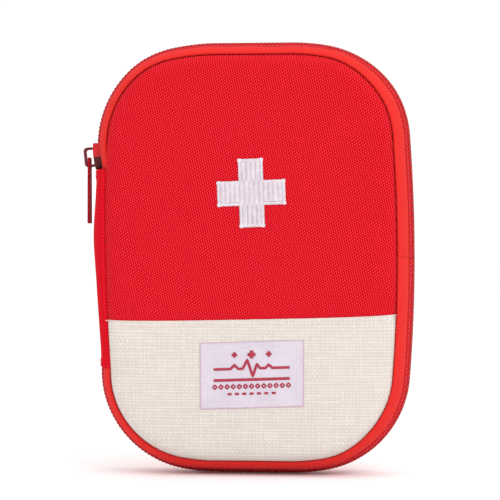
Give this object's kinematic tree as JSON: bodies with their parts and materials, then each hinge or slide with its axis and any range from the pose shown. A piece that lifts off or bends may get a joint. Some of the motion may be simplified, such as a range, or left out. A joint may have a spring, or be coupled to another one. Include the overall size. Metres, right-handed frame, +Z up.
{
  "type": "first aid kit",
  "caption": "Soft zip-around first aid pouch with a padded front and back, a gusseted spine, inner pockets and loops, and its dressings.",
  "frame": {"origin": "middle of the bottom edge, on the flat run of the zip that the pouch stands on", "axes": "+Z up along the pouch's height, -Y out of the front face, -X towards the spine and the parked slider"},
  "size_m": [0.1366, 0.033, 0.178],
  "materials": {
    "red_fabric": "dense red polyester weave",
    "cream_fabric": "cream canvas weave",
    "foam": "soft foam pad",
    "lining": "smooth dark polyester lining",
    "binding": "black woven tape",
    "zip_tape": "red fine zip tape",
    "zip_teeth": "red nylon coil",
    "embroidery": "white satin stitch",
    "label_satin": "pale woven satin",
    "net": "black net",
    "elastic": "black ribbed elastic",
    "gauze": "white open gauze",
    "crepe": "tan crepe bandage",
    "steel": "brushed",
    "gauze_sachet": "paper sachet",
    "wipe_sachet": "foil-lined paper sachet",
    "plaster_wrapper": "paper wrapper",
    "tape_core": "moulded spool",
    "surgical_tape": "matt woven tape",
    "slider_metal": "red enamel",
    "pull_metal": "dark red enamel"
  },
  "bodies": {
    "back_shell": {"back_panel": "red_fabric", "back_foam_pad": "foam", "back_lining": "lining", "back_seam_binding": "binding", "back_zip_tape": "zip_tape", "back_zip_teeth": "zip_teeth", "slip_pocket": "lining", "slip_pocket_hem": "binding", "elastic_loops": "elastic", "gauze_bandage_roll": "gauze", "crepe_bandage_roll": "crepe", "tweezers": "steel", "gauze_pads": "gauze_sachet"},
    "spine": {"spine_gusset": "red_fabric", "spine_lining": "lining", "upper_zip_end_tapes": "zip_tape", "upper_zip_end_teeth": "zip_teeth", "lower_zip_end_tapes": "zip_tape", "lower_zip_end_teeth": "zip_teeth"},
    "cover": {"front_red_panel": "red_fabric", "front_cream_panel": "cream_fabric", "embroidered_cross": "embroidery", "woven_label": "label_satin", "front_foam_pad": "foam", "front_lining": "lining", "front_seam_binding": "binding", "front_zip_tape": "zip_tape", "front_zip_teeth": "zip_teeth", "net_pocket": "net", "net_pocket_hem": "binding", "antiseptic_wipes": "wipe_sachet", "plaster_strips": "plaster_wrapper", "tape_roll_core": "tape_core", "tape_roll_winding": "surgical_tape"},
    "slider": {"zip_slider": "slider_metal"},
    "pull_tab": {"zip_pull": "pull_metal"}
  },
  "joints": [
    {"name": "spine_fold", "type": "hinge", "parent": "back_shell", "child": "spine", "pos_m": [-0.06, 0.0125, 0.089], "axis": [0, 0, -1], "range_deg": [0, 90]},
    {"name": "cover_fold", "type": "hinge", "parent": "spine", "child": "cover", "pos_m": [-0.06, -0.0125, 0.089], "axis": [0, 0, -1], "range_deg": [0, 90]},
    {"name": "slider_travel", "type": "hinge", "parent": "spine", "child": "slider", "pos_m": [-0.02222, 0, 0.13542], "axis": [0, -1, 0], "range_deg": [-75, 0]},
    {"name": "pull_swing", "type": "hinge", "parent": "slider", "child": "pull_tab", "pos_m": [-0.06816, 0, 0.12911], "axis": [0, 1, 0], "range_deg": [0, 120]}
  ],
  "couplings": [
    {"joint": "cover_fold", "follows": "spine_fold", "ratio": 1}
  ]
}
